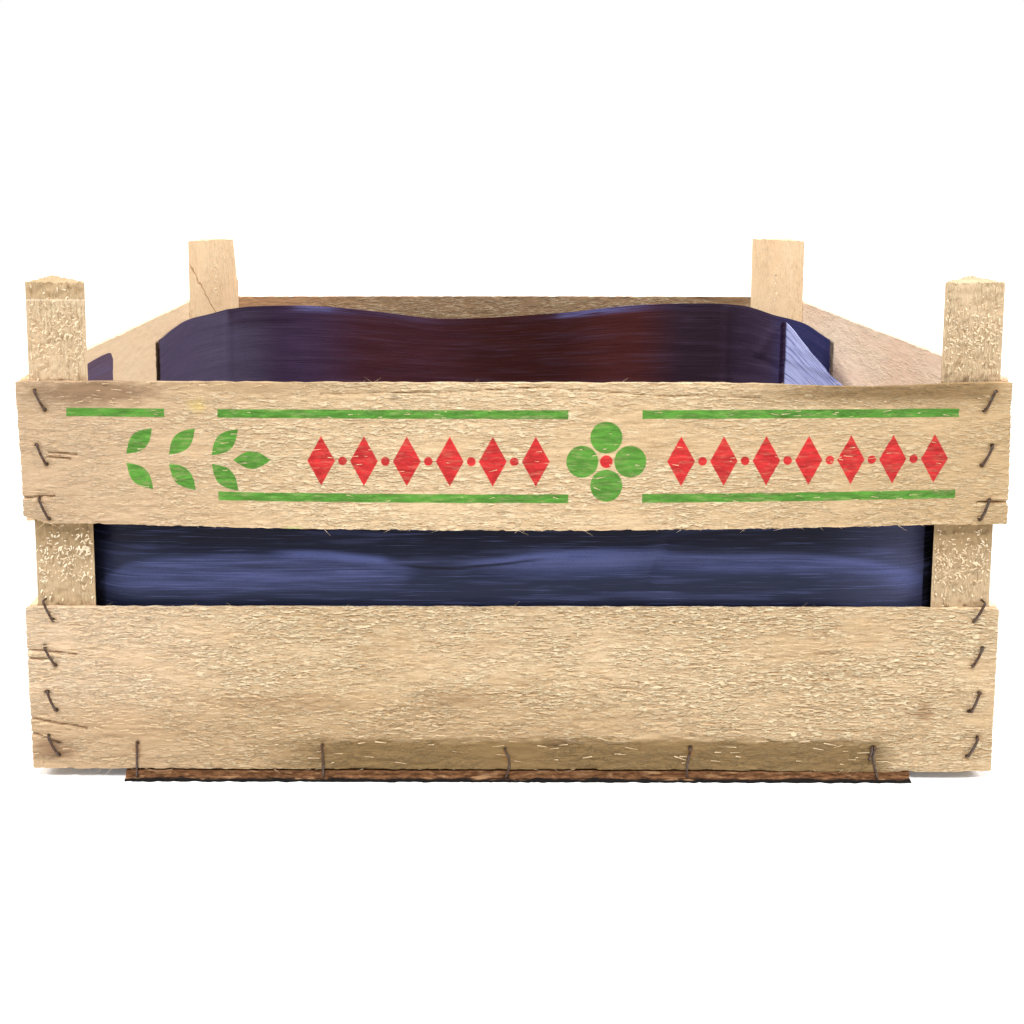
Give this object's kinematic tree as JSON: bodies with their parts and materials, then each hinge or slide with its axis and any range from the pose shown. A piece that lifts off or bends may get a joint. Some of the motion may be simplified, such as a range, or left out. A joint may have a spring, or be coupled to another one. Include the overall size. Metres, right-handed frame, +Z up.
{
  "type": "slatted wooden crate",
  "caption": "Open slatted produce crate of thin veneer slats stapled to three-sided corner posts, with a hardboard bottom and a dark paper liner in two sheets.",
  "frame": {"origin": "middle of the crate's footprint, on the surface it stands on", "axes": "+X to the right along the length, +Y from the front to the back, +Z up"},
  "size_m": [0.5024, 0.317, 0.2614],
  "materials": {
    "post_wood": "rough sawn softwood",
    "pale_post_wood": "rough sawn pale softwood",
    "slat_wood": "rough peeled veneer, matt",
    "end_slat_wood": "smooth peeled veneer, matt",
    "hardboard": "pressed hardboard, matt",
    "liner_paper": "thin dark paper with a slight sheen",
    "wire": "dull steel wire",
    "green_ink": "worn printing ink",
    "red_ink": "worn printing ink"
  },
  "bodies": {
    "root": {"post_front_left": "post_wood", "post_front_right": "post_wood", "post_back_left": "pale_post_wood", "post_back_right": "pale_post_wood", "front_slat_upper": "slat_wood", "front_slat_lower": "slat_wood", "back_slat_upper": "slat_wood", "back_slat_lower": "slat_wood", "left_slat_upper": "end_slat_wood", "left_slat_lower": "end_slat_wood", "right_slat_upper": "end_slat_wood", "right_slat_lower": "end_slat_wood", "bottom_board": "hardboard", "liner_front_sheet": "liner_paper", "liner_back_sheet": "liner_paper", "staples_front_upper": "wire", "staples_front_lower": "wire", "staples_back_upper": "wire", "staples_back_lower": "wire", "staples_left_upper": "wire", "staples_left_lower": "wire", "staples_right_upper": "wire", "staples_right_lower": "wire", "stitches_front": "wire", "stitches_back": "wire", "stitches_left": "wire", "stitches_right": "wire", "print_green": "green_ink", "print_red": "red_ink"}
  },
  "joints": []
}
